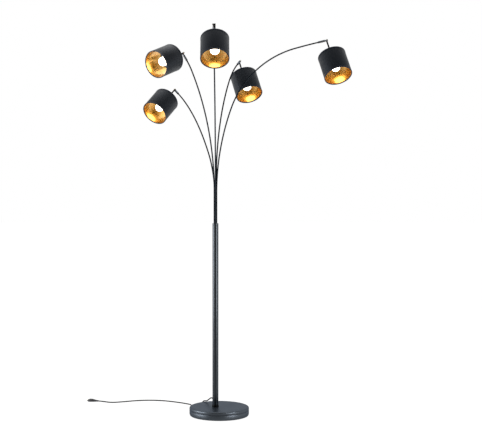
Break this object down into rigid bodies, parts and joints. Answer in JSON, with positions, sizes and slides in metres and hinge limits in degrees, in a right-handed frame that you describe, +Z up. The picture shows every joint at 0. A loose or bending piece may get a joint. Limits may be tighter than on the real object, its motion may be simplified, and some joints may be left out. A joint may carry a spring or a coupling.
{
  "type": "tree floor lamp",
  "caption": "Floor lamp: round weighted base, slim pole and a fan of bent arms, each ending in a swivelling dark drum shade with a gold lining.",
  "frame": {"origin": "foot of the pole's line on the floor, under the base", "axes": "+Z up along the pole, +X to the right and -Y towards the viewer of the picture"},
  "size_m": [1.38, 0.7792, 1.9499],
  "materials": {
    "base_finish": "satin graphite lacquer on pressed steel",
    "iron": "rough black dip paint",
    "pad": "matt soft pad",
    "zinc_steel": "zinc plated",
    "pole_finish": "glossy graphite lacquer",
    "black_steel": "satin black",
    "arm_finish": "satin dark grey",
    "lead_sheath": "smooth sheath",
    "connector": "moulded, off white",
    "cord_sheath": "smooth dark grey sheath",
    "grey_plastic": "fine moulded grain",
    "button": "fine moulded grain",
    "sleeve_finish": "satin grey",
    "nickel": "bright nickel",
    "stem_finish": "satin black",
    "holder_plastic": "satin black moulding",
    "wire": "gold coated wire",
    "shade_cloth": "dark cloth with gold lining",
    "bulb_globe": "opal white"
  },
  "bodies": {
    "stand": {"base_cover": "base_finish", "base_weight": "iron", "base_pad": "pad", "base_stud": "zinc_steel", "base_nut": "zinc_steel", "pole": "pole_finish", "pole_foot": "black_steel", "cable_grommet": "grey_plastic", "arm_holder": "black_steel", "grub_screws": "zinc_steel", "arm_centre": "arm_finish", "arm_right": "arm_finish", "arm_right_low": "arm_finish", "arm_left_low": "arm_finish", "arm_left_up": "arm_finish", "arm_leads": "lead_sheath", "pole_lead": "lead_sheath", "lead_connector": "connector", "cord_near": "cord_sheath", "cord_coil": "cord_sheath", "cord_link": "cord_sheath", "cord_far": "cord_sheath", "plug": "grey_plastic", "switch_housing": "grey_plastic"},
    "knuckle_centre": {"sleeve_centre": "sleeve_finish", "pivot_screw_centre": "nickel"},
    "head_centre": {"stem_centre": "stem_finish", "lampholder_centre": "holder_plastic", "shade_centre": "shade_cloth", "shade_frame_centre": "wire", "bulb_centre": "bulb_globe"},
    "knuckle_right": {"sleeve_right": "sleeve_finish", "pivot_screw_right": "nickel"},
    "head_right": {"stem_right": "stem_finish", "lampholder_right": "holder_plastic", "shade_right": "shade_cloth", "shade_frame_right": "wire", "bulb_right": "bulb_globe"},
    "knuckle_right_low": {"sleeve_right_low": "sleeve_finish", "pivot_screw_right_low": "nickel"},
    "head_right_low": {"stem_right_low": "stem_finish", "lampholder_right_low": "holder_plastic", "shade_right_low": "shade_cloth", "shade_frame_right_low": "wire", "bulb_right_low": "bulb_globe"},
    "knuckle_left_low": {"sleeve_left_low": "sleeve_finish", "pivot_screw_left_low": "nickel"},
    "head_left_low": {"stem_left_low": "stem_finish", "lampholder_left_low": "holder_plastic", "shade_left_low": "shade_cloth", "shade_frame_left_low": "wire", "bulb_left_low": "bulb_globe"},
    "knuckle_left_up": {"sleeve_left_up": "sleeve_finish", "pivot_screw_left_up": "nickel"},
    "head_left_up": {"stem_left_up": "stem_finish", "lampholder_left_up": "holder_plastic", "shade_left_up": "shade_cloth", "shade_frame_left_up": "wire", "bulb_left_up": "bulb_globe"},
    "switch_button": {"switch_button": "button"}
  },
  "joints": [
    {"name": "swivel_centre", "type": "hinge", "parent": "stand", "child": "knuckle_centre", "pos_m": [-0.00903, -0.12101, 1.90595], "axis": [0.0229, 0.2915, -0.9563], "range_deg": [-160, 80]},
    {"name": "tilt_centre", "type": "hinge", "parent": "knuckle_centre", "child": "head_centre", "pos_m": [-0.00655, -0.13275, 1.94426], "axis": [0.9996, -0.0245, 0.0165], "range_deg": [-129, 8.9]},
    {"name": "swivel_right", "type": "hinge", "parent": "stand", "child": "knuckle_right", "pos_m": [0.52431, 0.01434, 1.8821], "axis": [-0.9719, -0.0305, -0.2334], "range_deg": [-160, 160]},
    {"name": "tilt_right", "type": "hinge", "parent": "knuckle_right", "child": "head_right", "pos_m": [0.5635, 0.01851, 1.88977], "axis": [0.091, 0.8658, -0.492], "range_deg": [-91, 46.8]},
    {"name": "swivel_right_low", "type": "hinge", "parent": "stand", "child": "knuckle_right_low", "pos_m": [0.11922, 0.28958, 1.81143], "axis": [-0.3291, -0.8104, -0.4848], "range_deg": [-160, 160]},
    {"name": "tilt_right_low", "type": "hinge", "parent": "knuckle_right_low", "child": "head_right_low", "pos_m": [0.1302, 0.32393, 1.82907], "axis": [-0.6419, 0.5685, -0.5146], "range_deg": [-137, 0.3]},
    {"name": "swivel_left_low", "type": "hinge", "parent": "stand", "child": "knuckle_left_low", "pos_m": [-0.20578, 0.42311, 1.67067], "axis": [0.3843, -0.7949, -0.4695], "range_deg": [-160, 160]},
    {"name": "tilt_left_low", "type": "hinge", "parent": "knuckle_left_low", "child": "head_left_low", "pos_m": [-0.22209, 0.45292, 1.69204], "axis": [-0.2757, -0.5841, 0.7634], "range_deg": [-128, 9.9]},
    {"name": "swivel_left_up", "type": "hinge", "parent": "stand", "child": "knuckle_left_up", "pos_m": [-0.14929, 0.09839, 1.80543], "axis": [0.4581, -0.3207, -0.829], "range_deg": [-160, 160]},
    {"name": "tilt_left_up", "type": "hinge", "parent": "knuckle_left_up", "child": "head_left_up", "pos_m": [-0.16591, 0.10892, 1.84042], "axis": [0.4991, -0.6789, 0.5384], "range_deg": [-105, 32.5]},
    {"name": "switch_press", "type": "slide", "parent": "stand", "child": "switch_button", "axis": [0, 0, -1], "range_m": [0, 0.003], "stiffness_N_per_m": 600}
  ]
}
